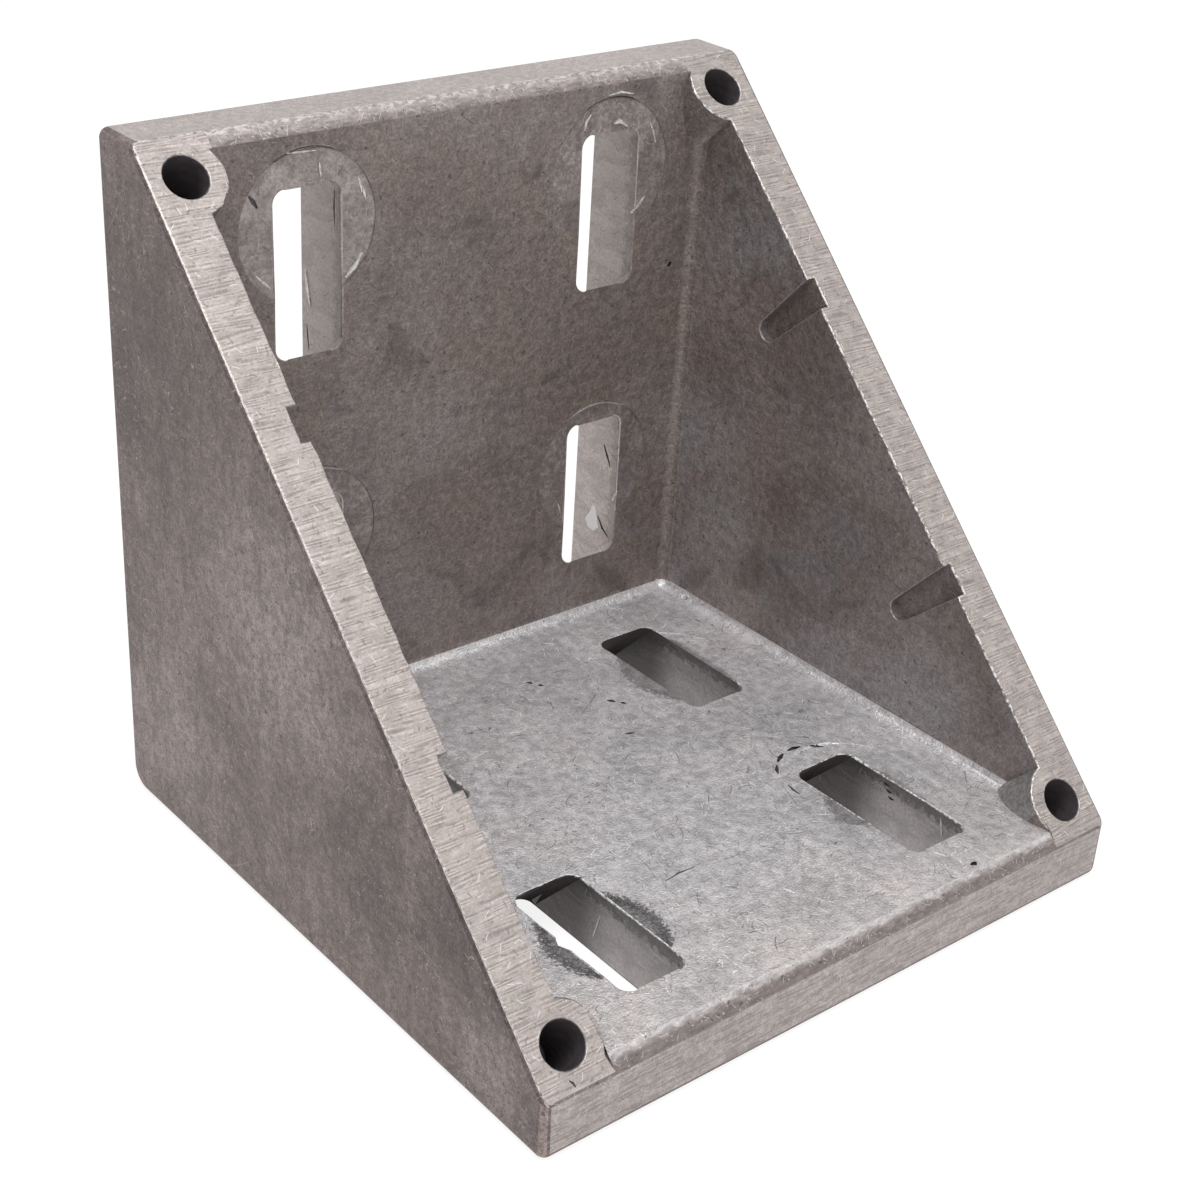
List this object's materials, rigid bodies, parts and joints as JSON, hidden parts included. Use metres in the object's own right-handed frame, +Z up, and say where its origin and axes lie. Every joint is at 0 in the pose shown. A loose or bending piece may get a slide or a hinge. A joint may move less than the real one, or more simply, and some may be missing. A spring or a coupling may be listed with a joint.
{
  "type": "corner bracket",
  "caption": "Die-cast right-angle bracket with two slotted mounting legs, triangular side walls and an open sloping front with pin holes for a cover.",
  "frame": {"origin": "middle of the footprint, on the base leg's mounting face", "axes": "+Z up from the base leg's mounting face; +Y out of the back leg's mounting face; +X to the right of someone who looks into the open slope, which faces -Y and up"},
  "size_m": [0.088, 0.0856, 0.0855],
  "materials": {
    "casting": "raw die-cast, milled rim"
  },
  "bodies": {
    "root": {"bracket_casting": "casting"}
  },
  "joints": []
}
